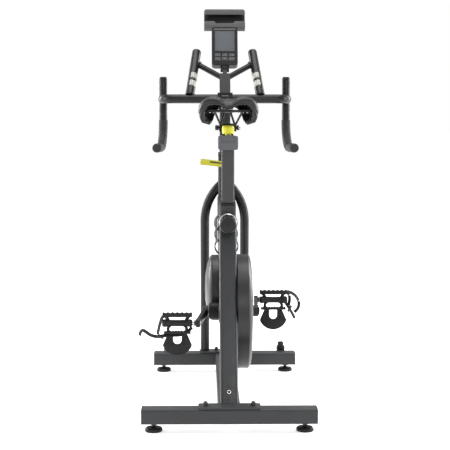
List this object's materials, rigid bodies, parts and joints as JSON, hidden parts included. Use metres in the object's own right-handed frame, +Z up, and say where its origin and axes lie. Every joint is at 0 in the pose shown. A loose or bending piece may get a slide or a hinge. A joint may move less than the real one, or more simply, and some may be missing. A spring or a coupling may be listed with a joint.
{
  "type": "exercise_bike",
  "caption": "Indoor spin bike: charcoal tube frame, round belt guard, caged pedals, padded saddle, drop-style handlebar with upright bars and a tilting console.",
  "frame": {"origin": "Middle of the bounding box's underside: the floor point midway between the bike's sides and midway between the rear stabilizer's back face and the transport wheels' front.", "axes": "+X to the rider's right, +Y forward from saddle to handlebar, +Z up; the feet stand on Z = 0."},
  "size_m": [0.52, 1.01, 1.3231],
  "materials": {
    "frame_paint": "satin",
    "drive_black": "satin",
    "bright_steel": "satin",
    "black_plastic": "matte",
    "rubber": "matte",
    "webbing": "matte",
    "cast_metal": "satin",
    "shoe_metal": "satin",
    "satin_alloy": "satin",
    "lime_plastic": "satin",
    "saddle_skin": "satin",
    "bar_black": "satin",
    "chrome": "polished",
    "key_plastic": "satin"
  },
  "bodies": {
    "frame": {"rear_stabilizer": "frame_paint", "front_stabilizer": "frame_paint", "stabilizer_end_caps": "black_plastic", "base_beam": "frame_paint", "mount_plates": "frame_paint", "fasteners": "bright_steel", "wheel_brackets": "frame_paint", "rear_strut": "frame_paint", "lower_post": "frame_paint", "seat_tube": "frame_paint", "main_beam": "frame_paint", "head_tube": "frame_paint", "fork_left": "frame_paint", "fork_right": "frame_paint", "bearing_housings": "drive_black", "bearings": "bright_steel", "post_bushings": "black_plastic", "guard_back": "drive_black", "guard_cover": "drive_black", "drive_belt": "rubber", "flywheel_shroud": "drive_black", "bottle_cage": "black_plastic", "pin_housing": "bright_steel"},
    "foot_rear_left": {"foot_rear_left": "black_plastic"},
    "foot_rear_right": {"foot_rear_right": "black_plastic"},
    "foot_front_left": {"foot_front_left": "black_plastic"},
    "foot_front_right": {"foot_front_right": "black_plastic"},
    "wheel_left": {"wheel_left": "rubber"},
    "wheel_right": {"wheel_right": "rubber"},
    "flywheel": {"flywheel": "cast_metal"},
    "cranks": {"crank_axle": "bright_steel", "crank_arm_left": "drive_black", "crank_arm_right": "drive_black"},
    "pedal_left": {"pedal_left": "black_plastic", "strap_left": "webbing"},
    "pedal_right": {"pedal_right": "black_plastic", "strap_right": "webbing"},
    "brake_shoe": {"brake_shoe": "shoe_metal"},
    "brake_rod": {"brake_rod": "bright_steel"},
    "brake_knob": {"brake_knob": "black_plastic"},
    "seat_post": {"seat_post": "frame_paint"},
    "seat_pin": {"seat_pin": "black_plastic"},
    "saddle": {"saddle_slider": "satin_alloy", "saddle_frame": "black_plastic", "saddle_pad": "saddle_skin"},
    "slider_knob": {"slider_knob": "lime_plastic"},
    "bar_post": {"bar_post": "frame_paint"},
    "post_lever": {"post_lever": "lime_plastic"},
    "handlebar": {"handlebar": "bar_black", "aero_bars": "bar_black", "hand_grips": "rubber", "pulse_pads": "chrome"},
    "console": {"console": "black_plastic", "tablet_holder": "black_plastic"},
    "key_1": {"key_1": "key_plastic"},
    "key_2": {"key_2": "key_plastic"},
    "key_3": {"key_3": "key_plastic"},
    "key_4": {"key_4": "key_plastic"},
    "key_5": {"key_5": "key_plastic"},
    "key_6": {"key_6": "key_plastic"}
  },
  "joints": [
    {"name": "flywheel_spin", "type": "hinge", "parent": "frame", "child": "flywheel", "pos_m": [0, -0.02, 0.369], "axis": [1, 0, 0], "continuous": true},
    {"name": "crank_spin", "type": "hinge", "parent": "frame", "child": "cranks", "pos_m": [0, -0.15, 0.31], "axis": [1, 0, 0], "continuous": true},
    {"name": "pedal_left_spin", "type": "hinge", "parent": "cranks", "child": "pedal_left", "pos_m": [-0.157, -0.31959, 0.29814], "axis": [1, 0, 0], "continuous": true},
    {"name": "pedal_right_spin", "type": "hinge", "parent": "cranks", "child": "pedal_right", "pos_m": [0.157, 0.01959, 0.32186], "axis": [1, 0, 0], "continuous": true},
    {"name": "seat_height", "type": "slide", "parent": "frame", "child": "seat_post", "axis": [0, -0.1564, 0.9877], "range_m": [-0.022, 0.088]},
    {"name": "seat_pin_pull", "type": "slide", "parent": "frame", "child": "seat_pin", "axis": [0, -0.9877, -0.1564], "range_m": [0, 0.01], "stiffness_N_per_m": 900},
    {"name": "saddle_fore_aft", "type": "slide", "parent": "seat_post", "child": "saddle", "axis": [0, 1, 0], "range_m": [-0.01, 0.06]},
    {"name": "slider_knob_turn", "type": "hinge", "parent": "saddle", "child": "slider_knob", "pos_m": [0, -0.25845, 0.88], "axis": [0, 0, 1], "range_deg": [-180, 180]},
    {"name": "handlebar_height", "type": "slide", "parent": "frame", "child": "bar_post", "axis": [0, -0.2419, 0.9703], "range_m": [-0.08, 0.08]},
    {"name": "handlebar_fore_aft", "type": "slide", "parent": "bar_post", "child": "handlebar", "axis": [0, 1, 0], "range_m": [-0.02, 0.03]},
    {"name": "post_lever_swing", "type": "hinge", "parent": "frame", "child": "post_lever", "pos_m": [0, 0.32454, 0.76893], "axis": [0, -0.9703, -0.2419], "range_deg": [-80, 95]},
    {"name": "console_tilt", "type": "hinge", "parent": "handlebar", "child": "console", "pos_m": [0, 0.36331, 1.10407], "axis": [1, 0, 0], "range_deg": [-12, 12]},
    {"name": "key_1_press", "type": "slide", "parent": "console", "child": "key_1", "axis": [0, -0.9397, 0.342], "range_m": [-0.0014, 0], "stiffness_N_per_m": 350},
    {"name": "key_2_press", "type": "slide", "parent": "console", "child": "key_2", "axis": [0, -0.9397, 0.342], "range_m": [-0.0014, 0], "stiffness_N_per_m": 350},
    {"name": "key_3_press", "type": "slide", "parent": "console", "child": "key_3", "axis": [0, -0.9397, 0.342], "range_m": [-0.0014, 0], "stiffness_N_per_m": 350},
    {"name": "key_4_press", "type": "slide", "parent": "console", "child": "key_4", "axis": [0, -0.9397, 0.342], "range_m": [-0.0014, 0], "stiffness_N_per_m": 350},
    {"name": "key_5_press", "type": "slide", "parent": "console", "child": "key_5", "axis": [0, -0.9397, 0.342], "range_m": [-0.0014, 0], "stiffness_N_per_m": 350},
    {"name": "key_6_press", "type": "slide", "parent": "console", "child": "key_6", "axis": [0, -0.9397, 0.342], "range_m": [-0.0014, 0], "stiffness_N_per_m": 350},
    {"name": "brake_push", "type": "slide", "parent": "frame", "child": "brake_rod", "axis": [0, -0.5193, 0.8546], "range_m": [-0.008, 0], "stiffness_N_per_m": 1200},
    {"name": "brake_knob_turn", "type": "hinge", "parent": "brake_rod", "child": "brake_knob", "pos_m": [0, 0.20087, 0.56063], "axis": [0, -0.5193, 0.8546], "range_deg": [0, 720]},
    {"name": "brake_shoe_swing", "type": "hinge", "parent": "frame", "child": "brake_shoe", "pos_m": [-0.04, 0.05056, 0.43186], "axis": [1, 0, 0], "range_deg": [-3, 0]},
    {"name": "wheel_left_spin", "type": "hinge", "parent": "frame", "child": "wheel_left", "pos_m": [-0.2105, 0.4805, 0.0755], "axis": [1, 0, 0], "continuous": true},
    {"name": "wheel_right_spin", "type": "hinge", "parent": "frame", "child": "wheel_right", "pos_m": [0.2105, 0.4805, 0.0755], "axis": [1, 0, 0], "continuous": true},
    {"name": "foot_rear_left_turn", "type": "hinge", "parent": "frame", "child": "foot_rear_left", "pos_m": [-0.224, -0.475, 0], "axis": [0, 0, 1], "range_deg": [-180, 180]},
    {"name": "foot_rear_right_turn", "type": "hinge", "parent": "frame", "child": "foot_rear_right", "pos_m": [0.224, -0.475, 0], "axis": [0, 0, 1], "range_deg": [-180, 180]},
    {"name": "foot_front_left_turn", "type": "hinge", "parent": "frame", "child": "foot_front_left", "pos_m": [-0.224, 0.425, 0], "axis": [0, 0, 1], "range_deg": [-180, 180]},
    {"name": "foot_front_right_turn", "type": "hinge", "parent": "frame", "child": "foot_front_right", "pos_m": [0.224, 0.425, 0], "axis": [0, 0, 1], "range_deg": [-180, 180]}
  ],
  "couplings": [
    {"joint": "crank_spin", "follows": "flywheel_spin", "ratio": 0.18868},
    {"joint": "brake_shoe_swing", "follows": "brake_knob_turn", "ratio": -0.0041667}
  ]
}
